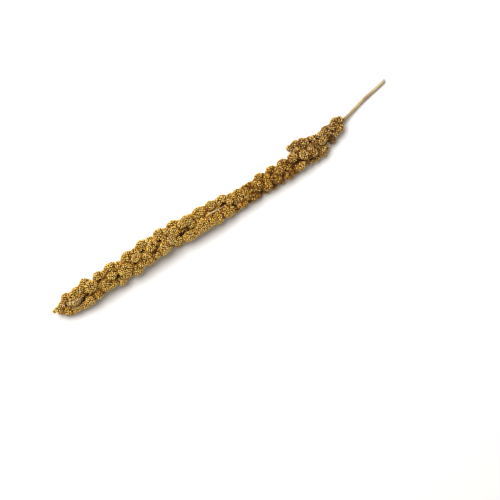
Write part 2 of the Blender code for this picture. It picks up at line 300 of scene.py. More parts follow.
def addUnderRow(clusters, draw, firstTurn, lastTurn, firstStation, number):
    for i in range(number):
        station = firstStation + head["underPitch"] * i
        girth = between(head["girth"], station)[0]
        spread = draw.uniform(1 - head["radiusSpread"], 1 + head["radiusSpread"])
        radius = (head["radiusStart"] + head["radiusPerSpacing"] * head["underPitch"]) * spread
        radius = min(radius, girth * head["mostOfGirth"])
        jitter = draw.uniform(-head["turnSpread"], head["turnSpread"])
        turn = firstTurn + (lastTurn - firstTurn) * station / head["lastRowStation"]
        addLeaning(clusters, draw, station, turn + jitter, girth - radius, radius)


def addFillRow(clusters, draw, turn, firstStation, number, spacing, firstReach, lastReach, radius):
    for i in range(number):
        station = firstStation + spacing * i
        reach = firstReach + (lastReach - firstReach) * i / (number - 1)
        jitter = draw.uniform(-head["turnSpread"], head["turnSpread"])
        spread = draw.uniform(1 - head["radiusSpread"], 1 + head["radiusSpread"])
        addLeaning(clusters, draw, station, turn + jitter, reach, radius * spread)


def layClusters():
    draw = random.Random(head["seed"])
    clusters = []
    for place in head["upper"]:
        addUpper(clusters, draw, *place)
    for row in head["underRows"]:
        addUnderRow(clusters, draw, *row)
    for place in head["loose"]:
        addLeaning(clusters, draw, *place)
    for row in head["fillRows"]:
        addFillRow(clusters, draw, *row)
    station, radius, stretch = head["tipCover"]
    addCluster(clusters, draw, station, stemAt(station), stemAxes(station)[0], radius, stretch)
    return clusters


clusters = layClusters()
print("clusters laid", len(clusters))


# materials
def addNode(tree, kind, x, y, **settings):
    node = tree.nodes.new(kind)
    node.location = (x, y)
    for name, value in settings.items():
        setattr(node, name, value)
    return node


def newGroup(name, inputs, outputs):
    tree = bpy.data.node_groups.new(name, "ShaderNodeTree")
    for label, kind, value in inputs:
        socket = tree.interface.new_socket(label, in_out="INPUT", socket_type=kind)
        if value is not None:
            socket.default_value = value
    for label, kind in outputs:
        tree.interface.new_socket(label, in_out="OUTPUT", socket_type=kind)
    return tree, addNode(tree, "NodeGroupInput", -900, 0), addNode(tree, "NodeGroupOutput", 700, 0)


def placeGroup(tree, group, x, y, **values):
    node = addNode(tree, "ShaderNodeGroup", x, y, node_tree=group)
    for name, value in values.items():
        node.inputs[name].default_value = value
    return node


def newMaterial(name, roughness, coat=0.0, coatRoughness=0.3):
    material = bpy.data.materials.new(name)
    material.use_nodes = True
    tree = material.node_tree
    shader = tree.nodes["Principled BSDF"]
    shader.inputs["Roughness"].default_value = roughness
    shader.inputs["Coat Weight"].default_value = coat
    shader.inputs["Coat Roughness"].default_value = coatRoughness
    return material, tree, shader


def setRamp(node, stops):
    ramp = node.color_ramp
    while len(ramp.elements) < len(stops):
        ramp.elements.new(0.5)
    for element, (place, color) in zip(ramp.elements, stops):
        element.position = place
        element.color = (*color, 1)


# mottling on the object's own coordinates, for every dry surface
def makeMottle():
    tree, start, end = newGroup(
        "dryMottle",
        [("Scale", "NodeSocketFloat", 900.0), ("Detail", "NodeSocketFloat", 3.0)],
        [("Mottle", "NodeSocketFloat"), ("Grain", "NodeSocketFloat")],
    )
    place = addNode(tree, "ShaderNodeTexCoord", -900, -250)
    broad = addNode(tree, "ShaderNodeTexNoise", -500, 150)
    fine = addNode(tree, "ShaderNodeTexNoise", -500, -150)
    finer = addNode(tree, "ShaderNodeMath", -700, -150, operation="MULTIPLY")
    finer.inputs[1].default_value = 5
    link = tree.links.new
    link(place.outputs["Object"], broad.inputs["Vector"])
    link(place.outputs["Object"], fine.inputs["Vector"])
    link(start.outputs["Scale"], broad.inputs["Scale"])
    link(start.outputs["Scale"], finer.inputs[0])
    link(finer.outputs[0], fine.inputs["Scale"])
    link(start.outputs["Detail"], broad.inputs["Detail"])
    link(broad.outputs["Fac"], end.inputs["Mottle"])
    link(fine.outputs["Fac"], end.inputs["Grain"])
    return tree


huskLook = {
    # share of the way from dark to light, colour
    "gold": (
        (0.0, (0.090, 0.032, 0.003)),
        (0.3, (0.355, 0.153, 0.010)),
        (0.62, (0.810, 0.446, 0.042)),
        (1.0, (0.915, 0.688, 0.190)),
    ),
    "dull": (
        (0.0, (0.080, 0.045, 0.013)),
        (0.5, (0.360, 0.245, 0.090)),
        (1.0, (0.740, 0.590, 0.330)),
    ),
    # painted shade: each seed is darker towards its foot, where it sits deep between its neighbours
    "footShade": (0.130, 0.046, 0.005),
    "footShadeEnds": (0.52, 0.95),  # shares of a seed's height between which the painted shade at its foot gives way to its back
    "roughness": (0.34, 0.56),
    "mottling": 0.5,
}


# a husk's colour: painted shade at its foot, where it sits deep between its neighbours, golden on its
# back, greyer where it is dull
def makeHuskColour():
    tree, start, end = newGroup(
        "huskColour",
        [
            ("Tone", "NodeSocketFloat", 0.5),
            ("Height", "NodeSocketFloat", 1.0),
            ("Dull", "NodeSocketFloat", 0.0),
            ("Mottle", "NodeSocketFloat", 0.5),
        ],
        [("Color", "NodeSocketColor"), ("Roughness", "NodeSocketFloat")],
    )
    link = tree.links.new
    shift = addNode(tree, "ShaderNodeMath", -700, 250, operation="MULTIPLY_ADD")
    shift.inputs[1].default_value = huskLook["mottling"]
    link(start.outputs["Mottle"], shift.inputs[0])
    lessen = addNode(tree, "ShaderNodeMath", -700, 100, operation="SUBTRACT")
    lessen.inputs[1].default_value = huskLook["mottling"] / 2
    link(start.outputs["Tone"], lessen.inputs[0])
    link(lessen.outputs[0], shift.inputs[2])
    gold = addNode(tree, "ShaderNodeValToRGB", -500, 300)
    setRamp(gold, huskLook["gold"])
    link(shift.outputs[0], gold.inputs["Fac"])
    grey = addNode(tree, "ShaderNodeValToRGB", -500, 0)
    setRamp(grey, huskLook["dull"])
    link(shift.outputs[0], grey.inputs["Fac"])
    dull = addNode(tree, "ShaderNodeMix", -150, 200, data_type="RGBA")
    link(start.outputs["Dull"], dull.inputs[0])
    link(gold.outputs["Color"], dull.inputs[6])
    link(grey.outputs["Color"], dull.inputs[7])
    # painted shade towards the seed's foot
    footShade = addNode(tree, "ShaderNodeMapRange", -150, -100, interpolation_type="SMOOTHSTEP")
    footShade.inputs["From Min"].default_value = huskLook["footShadeEnds"][0]
    footShade.inputs["From Max"].default_value = huskLook["footShadeEnds"][1]
    link(start.outputs["Height"], footShade.inputs["Value"])
    shade = addNode(tree, "ShaderNodeMix", 150, 100, data_type="RGBA")
    shade.inputs[6].default_value = (*huskLook["footShade"], 1)
    link(footShade.outputs["Result"], shade.inputs[0])
    link(dull.outputs[2], shade.inputs[7])
    link(shade.outputs[2], end.inputs["Color"])
    rough = addNode(tree, "ShaderNodeMapRange", 150, -150)
    rough.inputs["To Min"].default_value = huskLook["roughness"][0]
    rough.inputs["To Max"].default_value = huskLook["roughness"][1]
    link(start.outputs["Mottle"], rough.inputs["Value"])
    link(rough.outputs["Result"], end.inputs["Roughness"])
    return tree


# long fibres that follow a straw
# the attribute "along" has a ring's cosine and sine, then mm from the tip
def makeFibres():
    tree, start, end = newGroup(
        "strawFibres",
        [("Around", "NodeSocketFloat", 5.0), ("Along", "NodeSocketFloat", 0.12)],
        [("Fibre", "NodeSocketFloat"), ("Blotch", "NodeSocketFloat"), ("Station", "NodeSocketFloat")],
    )
    link = tree.links.new
    read = addNode(tree, "ShaderNodeAttribute", -900, -250, attribute_name="along")
    split = addNode(tree, "ShaderNodeSeparateXYZ", -700, -250)
    link(read.outputs["Vector"], split.inputs[0])
    parts = []
    for k, socket in enumerate(("Around", "Around", "Along")):
        times = addNode(tree, "ShaderNodeMath", -500, -100 - 150 * k, operation="MULTIPLY")
        link(split.outputs[k], times.inputs[0])
        link(start.outputs[socket], times.inputs[1])
        parts.append(times)
    joined = addNode(tree, "ShaderNodeCombineXYZ", -300, -200)
    for k, times in enumerate(parts):
        link(times.outputs[0], joined.inputs[k])
    fibre = addNode(tree, "ShaderNodeTexNoise", -50, 150)
    fibre.inputs["Scale"].default_value = 1.6
    fibre.inputs["Detail"].default_value = 4
    link(joined.outputs[0], fibre.inputs["Vector"])
    blotch = addNode(tree, "ShaderNodeTexNoise", -50, -150)
    blotch.inputs["Scale"].default_value = 0.45
    link(read.outputs["Vector"], blotch.inputs["Vector"])
    link(fibre.outputs["Fac"], end.inputs["Fibre"])
    link(blotch.outputs["Fac"], end.inputs["Blotch"])
    link(split.outputs[2], end.inputs["Station"])
    return tree


mottleGroup = makeMottle()
huskGroup = makeHuskColour()
fibreGroup = makeFibres()


def addBump(tree, shader, height, strength, distance):
    bump = addNode(tree, "ShaderNodeBump", -100, -400)
    bump.inputs["Strength"].default_value = strength
    bump.inputs["Distance"].default_value = distance
    tree.links.new(height, bump.inputs["Height"])
    tree.links.new(bump.outputs["Normal"], shader.inputs["Normal"])


def makeHuskMaterial():
    material, tree, shader = newMaterial("goldenHusk", 0.42, coat=0.03, coatRoughness=0.28)
    shader.inputs["Specular IOR Level"].default_value = 0.2
    link = tree.links.new
    read = addNode(tree, "ShaderNodeAttribute", -1000, 100, attribute_name="grain")
    split = addNode(tree, "ShaderNodeSeparateColor", -800, 100)
    mottle = placeGroup(tree, mottleGroup, -800, -150, Scale=650.0)
    husk = placeGroup(tree, huskGroup, -450, 100)
    link(read.outputs["Color"], split.inputs[0])
    for k, name in enumerate(("Tone", "Height", "Dull")):
        link(split.outputs[k], husk.inputs[name])
    link(mottle.outputs["Mottle"], husk.inputs["Mottle"])
    link(husk.outputs["Color"], shader.inputs["Base Color"])
    link(husk.outputs["Roughness"], shader.inputs["Roughness"])
    addBump(tree, shader, mottle.outputs["Grain"], 0.35, 0.00008)
    return material


# painted shade: the inner body is coloured near black to stand in for the shade deep between the seeds
innerShadeColours = (
    (0.3, (0.014, 0.005, 0.001)),
    (0.55, (0.046, 0.017, 0.002)),
    (0.75, (0.105, 0.044, 0.007)),
)


def makeInnerShadeMaterial():
    material, tree, shader = newMaterial("innerHuskShade", 0.8)
    shader.inputs["Specular IOR Level"].default_value = 0.1
    link = tree.links.new
    mottle = placeGroup(tree, mottleGroup, -800, -150, Scale=900.0)
    dark = addNode(tree, "ShaderNodeValToRGB", -450, 100)
    setRamp(dark, innerShadeColours)
    link(mottle.outputs["Mottle"], dark.inputs["Fac"])
    link(dark.outputs["Color"], shader.inputs["Base Color"])
    addBump(tree, shader, mottle.outputs["Grain"], 0.8, 0.0002)
    return material


def makeStrawMaterial(name, pale, deep, roughness):
    material, tree, shader = newMaterial(name, roughness)
    link = tree.links.new
    fibres = placeGroup(tree, fibreGroup, -1000, 100)
    tan = addNode(tree, "ShaderNodeValToRGB", -700, 250)
    setRamp(tan, [(0.34, deep), (0.6, pale)])
    link(fibres.outputs["Fibre"], tan.inputs["Fac"])
    link(tan.outputs["Color"], shader.inputs["Base Color"])
    addBump(tree, shader, fibres.outputs["Fibre"], 0.4, 0.00012)
    return material


stalkLook = {
    "from": 254,
    "to": 306,
    # share of the way to the cut, colour
    "bands": (
        (0.00, (0.220, 0.155, 0.065)),
        (0.25, (0.255, 0.190, 0.082)),
        (0.42, (0.420, 0.330, 0.165)),
        (0.52, (0.370, 0.290, 0.125)),
        (0.60, (0.290, 0.185, 0.085)),
        (0.68, (0.320, 0.215, 0.105)),
        (0.76, (0.440, 0.370, 0.200)),
        (0.92, (0.400, 0.350, 0.190)),
        (1.00, (0.320, 0.310, 0.270)),
    ),
    "fibres": ((0.36, (0.62, 0.56, 0.50)), (0.60, (1.0, 1.0, 1.0))),
    "pith": (0.560, 0.480, 0.330),
}


def makeStalkMaterial():
    material, tree, shader = newMaterial("stalkStraw", 0.45)
    link = tree.links.new
    fibres = placeGroup(tree, fibreGroup, -1100, 100)
    share = addNode(tree, "ShaderNodeMapRange", -900, 300)
    share.inputs["From Min"].default_value = stalkLook["from"]
    share.inputs["From Max"].default_value = stalkLook["to"]
    link(fibres.outputs["Station"], share.inputs["Value"])
    uneven = addNode(tree, "ShaderNodeMath", -750, 100, operation="MULTIPLY_ADD")
    uneven.inputs[1].default_value = 0.12
    uneven.inputs[2].default_value = -0.06
    link(fibres.outputs["Blotch"], uneven.inputs[0])
    along = addNode(tree, "ShaderNodeMath", -600, 300, operation="ADD")
    link(share.outputs["Result"], along.inputs[0])
    link(uneven.outputs[0], along.inputs[1])
    bands = addNode(tree, "ShaderNodeValToRGB", -450, 300)
    setRamp(bands, stalkLook["bands"])
    link(along.outputs[0], bands.inputs["Fac"])
    lines = addNode(tree, "ShaderNodeValToRGB", -450, 0)
    setRamp(lines, stalkLook["fibres"])
    link(fibres.outputs["Fibre"], lines.inputs["Fac"])
    lined = addNode(tree, "ShaderNodeMix", -150, 250, data_type="RGBA", blend_type="MULTIPLY")
    lined.inputs[0].default_value = 1
    link(bands.outputs["Color"], lined.inputs[6])
    link(lines.outputs["Color"], lined.inputs[7])
    pith = addNode(tree, "ShaderNodeAttribute", -150, 0, attribute_name="pith")
    ended = addNode(tree, "ShaderNodeMix", 50, 250, data_type="RGBA")
    ended.inputs[7].default_value = (*stalkLook["pith"], 1)
    link(pith.outputs["Fac"], ended.inputs[0])
    link(lined.outputs[2], ended.inputs[6])
    link(ended.outputs[2], shader.inputs["Base Color"])
    addBump(tree, shader, fibres.outputs["Fibre"], 0.4, 0.00012)
    return material


huskMaterial = makeHuskMaterial()
innerShadeMaterial = makeInnerShadeMaterial()
stalkMaterial = makeStalkMaterial()
paleStraw = makeStrawMaterial("paleStraw", (0.470, 0.365, 0.175), (0.260, 0.175, 0.070), 0.5)
chaffMaterial = makeStrawMaterial("paleChaff", (0.800, 0.710, 0.520), (0.560, 0.440, 0.260), 0.55)
print("materials made")


def finishPiece(shape, name, material, slot, *nodes):
    mesh = bpy.data.meshes.new(name)
    shape.to_mesh(mesh)
    shape.free()
    piece = bpy.data.objects.new(name, mesh)
    bpy.context.scene.collection.objects.link(piece)
    mesh.materials.append(material)
    mesh.shade_smooth()
    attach(piece, "root")
    if nodes:
        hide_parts(*nodes)
    return piece


# seeds
seeds = {
    "seed": 21,
    "pitch": 1.56,  # between neighbours on a cluster, mm
    "length": 1.85,
    "width": 1.20,
    "depth": 0.85,  # from a cluster's outline to a seed's middle
    "elbow": 1.15,  # least distance between seeds of two clusters, mm
    "tilt": 0.30,  # how far the seeds lean towards the head's tip
    "scatter": 0.17,
    "unevenness": 0.15,  # how far the seeds stray from an even spacing, mm
    "lumps": 0.05,  # uneven outline of a cluster
    "standOut": 0.12,  # how unevenly the seeds stand out of a cluster, mm
    "floor": 0.66,  # height of the middles of the seeds that are pressed flat
    "pressed": 1.2,  # height under which the seeds lie level
    "tone": 0.85,
    "toneSpread": 0.19,
    "clusterToneSpread": 0.06,
    # painted shade: seeds where two clusters meet are darkened to stand in for the shade there
    "valleyWidth": 2.3,  # mm from the next cluster over which the seeds are darkened, a painted shade where clusters meet
    "valleyShade": 0.80,
    "valleyFacing": 2.5,  # how soon the painted shade reaches seeds that half face the next cluster
    "baseFrom": (140, 170),  # stations between which the seeds turn browner and more uneven
    "baseShade": 0.15,
    "baseUneven": 0.4,
    "dull": (0.08, 0.16),  # middle and spread
    "dullFrom": (200, 230),  # stations between which the seeds turn duller
    "dullShade": 0.38,
    "sizes": (0.86, 1.10),
    # name, pinch at the crease, point, flatness
    "kinds": (
        ("plumpSeed", 0.86, 1.25, 0.94),
        ("slimSeed", 0.80, 1.35, 0.84),
        ("roundSeed", 0.92, 1.12, 1.00),
    ),
    "bristled": 0.05,  # share of the seeds with a bristle
    "bristledAbove": 3,  # mm over the surface
    "pieces": 5,
    # spots in plan where seeds have dropped out: station, across, half length, half width, turn
    "gaps": (
        (27.6, 3.0, 4.2, 1.35, 14),
        (43.5, 6.2, 1.1, 1.5, 0),
        (56.5, 1.1, 1.6, 1.5, 20),
        (72, 1.7, 1.6, 1.3, 0),
        (82.5, 6, 1.7, 0.9, 0),
        (89.3, -0.3, 2.5, 1.4, 0),
        (97.2, 4.7, 1.7, 1.2, 0),
        (104.5, 3.4, 1.2, 0.7, 0),
        (114.2, -0.2, 2.2, 1.2, 0),
        (121.5, -1.6, 5, 0.6, -3),
        (149.5, 3.6, 0.8, 0.6, 0),
        (152, -0.2, 2.8, 0.9, -5),
        (172.5, 1.2, 2.0, 0.8, 0),
        (193.5, -2.6, 1.2, 1.0, 0),
        (214.4, -6, 4.2, 1.15, -4),
        (225, -9, 2.2, 2.0, 0),
        (231.5, 0.8, 1.4, 1.3, 0),
        (232.5, -4.6, 1.4, 0.9, 40),
    ),
    # spots in plan with seeds of another tone, and spots of painted shade or painted light, as marked:
    # station, across, reach, tone, dullness
    "tintsAndPaintedShading": (
        (104, 0.2, 4.0, 0.02, 0.45),
        (124, 3.2, 2.5, 0.3, 0.1),
        (20, 1.6, 5.5, -0.10, 0.6),
        (15, 6.4, 3.0, 0.25, 0.35),
        (246.2, -6.8, 4.4, -0.36, 0.8),
        (215.5, -9.8, 3.5, 0.18, -0.1),
        (256, 3.2, 6.0, -0.12, 0.0),
        (241.5, -9, 3.0, 0.15, 0.8),
        (98, -1.8, 5.0, 0.12, 0.0),
        (118, -4.8, 6.0, 0.10, 0.0),
        (63, 0.2, 5.0, 0.08, 0.0),
        (47, 1.2, 6.0, 0.10, 0.0),
        # painted shade: a darker cluster that lies in shade
        (37, -1, 3.5, -0.20, 0.0),
        # lighter at the tip, undoing the painted valley shade there
        (1.5, 7.2, 3.0, 0.45, 0.2),
        (10, 3.0, 13.0, -0.12, 0.0),
        # painted shade: these four darken the lower row, the side turned away from the light
        (163, -9.6, 5.0, -0.30, 0.0),
        (177, -9.6, 5.0, -0.32, 0.0),
        (192, -11.4, 5.5, -0.30, 0.0),
        (205, -12.4, 5.0, -0.30, 0.0),
        # painted light: a lit crown painted over a valley of the solid head
        (163.5, -4.6, 4.5, 0.25, 0.0),
        # darker over a long stretch of the head, from about station 146 to 218
        (182, -4.0, 36.0, -0.14, 0.0),
        # painted light: a lit crown painted over a valley of the solid head
        (175, -4.6, 3.5, 0.20, 0.0),
        (186, -4.4, 4.5, 0.12, 0.0),
        (205.5, -5.6, 4.0, 0.12, 0.0),
    ),
}


def inPlan(point):
    # station and across of a point, as the tables above have them
    return point.x / mm + stem["middle"], point.y / mm


def makeSeedMesh(name, pinch, point, flat):
    grain = bmesh.new()
    bmesh.ops.create_uvsphere(grain, u_segments=6, v_segments=5, radius=1)
    for vert in grain.verts:
        if abs(vert.co.y) < 0.1 and abs(vert.co.z) < 0.9:
            vert.co.x *= pinch  # the crease between the husk's halves
        if vert.co.z > 0.9:
            vert.co.z = point
    half = Vector((seeds["width"] / 2, seeds["width"] / 2 * flat, seeds["length"] / 2)) * mm
    bmesh.ops.scale(grain, vec=half, verts=grain.verts)
    for face in grain.faces:
        face.smooth = True
    mesh = bpy.data.meshes.new(name)
    grain.to_mesh(mesh)
    grain.free()
    mesh.attributes.new("grain", "FLOAT_COLOR", "POINT")
    heights = [vert.co.z for vert in mesh.vertices]
    low, high = min(heights), max(heights)
    return {"mesh": mesh, "heights": [(z - low) / (high - low) for z in heights]}


def insideOther(point, own, near, share):
    return any((c["inverse"] @ point).length < share for c in near if c is not own)


def inCore(point):
    station = inPlan(point)[0]
    if not stem["core"][0][0] <= station <= stem["core"][-1][0]:
        return False
    return (point - stemAt(station)).length < (between(stem["core"], station)[0] - 0.6) * mm


def inGap(point):
    station, across = inPlan(point)
    for place, side, halfLength, halfWidth, turn in seeds["gaps"]:
        turn = math.radians(turn)
        x, y = station - place, across - side
        along = (x * math.cos(turn) + y * math.sin(turn)) / halfLength
        aside = (y * math.cos(turn) - x * math.sin(turn)) / halfWidth
        if math.hypot(along, aside) < 1:
            return True
    return False


def seedSpots(cluster, near, draw):
    # places and directions of the seeds that show on one cluster
    radius = cluster["radius"]
    area = 4 * math.pi * radius**2 * cluster["stretch"]
    number = round(area / (seeds["pitch"] ** 2 * 0.866))  # as if they lay in triangles
    inner = 1 - seeds["depth"] / radius
    turnNormal = cluster["place"].to_3x3().inverted().transposed()
    floor = seeds["floor"] * mm
    start = draw.uniform(0, math.tau)
    for i in range(number):
        height = 1 - (2 * i + 1) / number
        ring = math.sqrt(1 - height**2)
        turn = start + i * math.pi * (3 - math.sqrt(5))
        way = Vector((ring * math.cos(turn), ring * math.sin(turn), height))
        way += Vector([draw.gauss(0, seeds["unevenness"] / radius) for _ in range(3)])
        way.normalize()
        lump = 1 + seeds["lumps"] * noise.noise(cluster["centre"] / mm + way * 1.7)
        normal = (turnNormal @ way).normalized()
        spot = cluster["place"] @ (way * inner * lump) + normal * draw.gauss(0, seeds["standOut"]) * mm
        if spot.z < floor:
            share = (cluster["centre"].z - floor) / (cluster["centre"].z - spot.z)
            if draw.random() > share**2:
                continue
            spot = cluster["centre"] + (spot - cluster["centre"]) * share
            normal = Vector((normal.x, normal.y, 0)).normalized()
        if insideOther(spot, cluster, near, 1 - 0.95 * seeds["depth"] / radius) or inCore(spot):
            continue
        if normal.z > 0.1 and inGap(spot):  # the gaps are on the upper side alone
            continue
        yield spot, normal


def crowded(spot, own, placed):
    # whether another cluster's seed is too near; the spot is kept if not
    cell = tuple(math.floor(c / mm / seeds["elbow"]) for c in spot)
    for x in (-1, 0, 1):
        for y in (-1, 0, 1):
            for z in (-1, 0, 1):
                for other, owner in placed.get((cell[0] + x, cell[1] + y, cell[2] + z), ()):
                    if owner is not own and (other - spot).length < seeds["elbow"] * mm:
                        return True
    placed.setdefault(cell, []).append((spot, own))
    return False


def paintedValleyShade(point, normal, own, near):
    # painted shade: 1 where two clusters meet, 0 on the crown of one; it darkens the seeds' tone
    deepest = 0
    for other in near:
        if other is own:
            continue
        gap = ((other["inverse"] @ point).length - 1) * other["radius"]
        facing = normal.dot((other["centre"] - point).normalized())
        share = min(max(1 - gap / seeds["valleyWidth"], 0), 1)
        deepest = max(deepest, share * min(max(seeds["valleyFacing"] * facing, 0), 1))
    return deepest


def shareBetween(station, ends):
    return min(max((station - ends[0]) / (ends[1] - ends[0]), 0), 1)


def seedLook(spot, normal, clusterTone, valley, draw):
    station, across = inPlan(spot)
    older = shareBetween(station, seeds["baseFrom"])
    spread = seeds["toneSpread"] * (1 + seeds["baseUneven"] * older)
    tone = seeds["tone"] + clusterTone + draw.gauss(0, spread)
    # painted shade between clusters, and seeds browner towards the base
    tone -= seeds["valleyShade"] * valley + seeds["baseShade"] * older
    dull = max(0.0, draw.gauss(*seeds["dull"]))
    dull += seeds["dullShade"] * shareBetween(station, seeds["dullFrom"])
    if normal.z > 0:
        # the spots of the table above: the seeds' own tones, and painted shade or painted light
        for place, side, reach, lighter, duller in seeds["tintsAndPaintedShading"]:
            away = math.hypot(station - place, across - side) / reach
            if away < 1:
                tone += lighter * (1 - away**2)
                dull += duller * (1 - away**2)
    return min(max(tone, 0), 1), min(max(dull, 0), 1)


def scatterSeeds(clusters):
    draw = random.Random(seeds["seed"])
    kinds = [makeSeedMesh(*kind) for kind in seeds["kinds"]]
    clouds = [bmesh.new() for _ in range(seeds["pieces"])]
    counts = [0] * seeds["pieces"]
    bristleSpots = []
    placed = {}
    widest = max(c["radius"] * c["stretch"] for c in clusters)
    for cluster in clusters:
        near = [c for c in clusters if (c["centre"] - cluster["centre"]).length < 2 * widest * mm]
        clusterTone = draw.gauss(0, seeds["clusterToneSpread"])
        tipward = stemAxes(min(cluster["station"], stem["core"][-1][0]))[0]
        share = min(int(cluster["station"] / head["length"] * seeds["pieces"]), seeds["pieces"] - 1)
        for spot, normal in seedSpots(cluster, near, draw):
            if crowded(spot, cluster, placed):
                continue
            lean = normal + tipward * seeds["tilt"]
            lean += Vector([draw.gauss(0, seeds["scatter"]) for _ in range(3)])
            if spot.z < seeds["pressed"] * mm:
                lean.z = 0
            kind = draw.choice((kinds[0], kinds[0], kinds[1], kinds[2]))
            size = draw.uniform(*seeds["sizes"])
            roll = Matrix.Rotation(draw.uniform(0, math.tau), 4, "Z")
            turned = lean.to_track_quat("Z", "Y").to_matrix().to_4x4()
            copy = kind["mesh"].copy()
            copy.transform(Matrix.Translation(spot) @ turned @ roll @ Matrix.Scale(size, 4))
            low = min(vert.co.z for vert in copy.vertices)
            if low < 0:
                copy.transform(Matrix.Translation((0, 0, -low)))
            # the tone carries the painted shade between clusters
            tone, dull = seedLook(spot, normal, clusterTone, paintedValleyShade(spot, normal, cluster, near), draw)
            values = [v for h in kind["heights"] for v in (tone, h, dull, 1)]
            copy.attributes["grain"].data.foreach_set("color", values)
            clouds[share].from_mesh(copy)
            bpy.data.meshes.remove(copy)
            counts[share] += 1
            if draw.random() < seeds["bristled"] and spot.z > seeds["bristledAbove"] * mm:
                bristleSpots.append((spot, lean.normalized()))
    print("seeds in each piece", counts)
    for i, cloud in enumerate(clouds):
        finishPiece(cloud, f"seeds_{i + 1}", huskMaterial, "seeds", "seed_head")
    return bristleSpots


bristleSpots = scatterSeeds(clusters)


# the inside of the clusters and the rachis, coloured near black: painted shade in the gaps between the
# seeds
inner = {
    "share": 0.71,  # of a cluster's radius
    "sunk": 0.55,  # how much of it is left out under a gap in the seeds
    "rough": 0.10,
    "sides": 14,
    "spacing": 4.0,
}


def frameAt(point, direction):
    turned = direction.to_track_quat("Z", "X").to_matrix().to_4x4()
    return Matrix.Translation(point) @ turned


def sweepTube(shape, points, radii, sides, marks):
    # a closed tube drawn from ring to ring, with its place around and along kept in an attribute
    layer = shape.verts.layers.float_vector.get("along") or shape.verts.layers.float_vector.new("along")
    directions = []
    for i in range(len(points)):
        ahead, behind = points[min(i + 1, len(points) - 1)], points[max(i - 1, 0)]
        directions.append((ahead - behind).normalized())
    frames = [frameAt(p, d) for p, d in zip(points, directions)]
    ring = bmesh.ops.create_circle(shape, cap_ends=False, segments=sides, radius=1)["verts"]
    for vert in ring:
        vert[layer] = Vector((vert.co.x, vert.co.y, marks[0]))
    edges = list({edge for vert in ring for edge in vert.link_edges})
    bmesh.ops.transform(shape, matrix=frames[0] @ Matrix.Scale(radii[0], 4), verts=ring)
    firstRing = list(edges)
    for i in range(1, len(points)):
        new = bmesh.ops.extrude_edge_only(shape, edges=edges)["geom"]
        ring = [item for item in new if isinstance(item, bmesh.types.BMVert)]
        edges = [item for item in new if isinstance(item, bmesh.types.BMEdge)]
        back = (frames[i - 1] @ Matrix.Scale(radii[i - 1], 4)).inverted()
        bmesh.ops.transform(shape, matrix=frames[i] @ Matrix.Scale(radii[i], 4) @ back, verts=ring)
        for vert in ring:
            vert[layer].z = marks[i]
        edges = [edge for edge in edges if all(vert in ring for vert in edge.verts)]
    bmesh.ops.contextual_create(shape, geom=firstRing)
    bmesh.ops.contextual_create(shape, geom=edges)


def makeInside(clusters):
    shape = bmesh.new()
    first, last = stem["core"][0][0], stem["core"][-1][0]
    count = math.ceil((last - first) / inner["spacing"])
    stations = [first + (last - first) * i / count for i in range(count + 1)]
    points = [stemAt(s) for s in stations]
    radii = [between(stem["core"], s)[0] * mm for s in stations]
    sweepTube(shape, points, radii, inner["sides"], stations)
    for cluster in clusters:
        share = inner["share"]
        ball = bmesh.ops.create_icosphere(shape, subdivisions=2, radius=share, matrix=cluster["place"])
        for vert in ball["verts"]:
            out = vert.co - cluster["centre"]
            vert.co += out * inner["rough"] * noise.noise(vert.co / mm * 0.9)
            if out.z > 0 and inGap(vert.co):
                vert.co -= out * inner["sunk"]
    for vert in shape.verts:
        vert.co.z = max(vert.co.z, 0.35 * mm)
    bmesh.ops.recalc_face_normals(shape, faces=shape.faces)
    return finishPiece(shape, "headInside", innerShadeMaterial, "seeds", "seed_head")


makeInside(clusters)
print("inside made")


# bristles
bristles = {
    "seed": 5,
    "thickness": 0.11,
    "length": (1.4, 2.4),
}


def makeBristles(spots):
    draw = random.Random(bristles["seed"])
    shape = bmesh.new()
    layer = shape.verts.layers.float_vector.new("along")
    for spot, lean in spots:
        length = draw.uniform(*bristles["length"])
        way = lean + Vector([draw.gauss(0, 0.25) for _ in range(3)])
        way.z = max(way.z, -0.2)
        way.normalize()
        place = frameAt(spot + way * (0.4 + length / 2) * mm, way)
        hair = bmesh.ops.create_cone(
            shape,
            cap_ends=True,
            cap_tris=True,
            segments=3,
            radius1=bristles["thickness"] / 2 * mm,
            radius2=bristles["thickness"] / 8 * mm,
            depth=length * mm,
            matrix=place,
        )["verts"]
        mark = draw.uniform(0, 300)
        for vert in hair:
            vert[layer] = Vector((0, 0, mark))
    return finishPiece(shape, "bristles", paleStraw, "seeds", "seed_head")


makeBristles(bristleSpots)
print("bristles made", len(bristleSpots))


# stalk
stalk = {
    "start": 252,
    "thickensFrom": 254,
    "radiusAtHead": 1.15,
    "radiusAtCut": 1.3,
    "collar": (261, 4.0, 0.35),  # station, reach and height of the swelling at the head
    "sides": 28,
    "spacing": 0.8,
    "ribs": 0.05,
    "cutSpare": 1.5,  # length that the slanting cut takes off
    "slant": -38,
    "rim": 0.22,
}


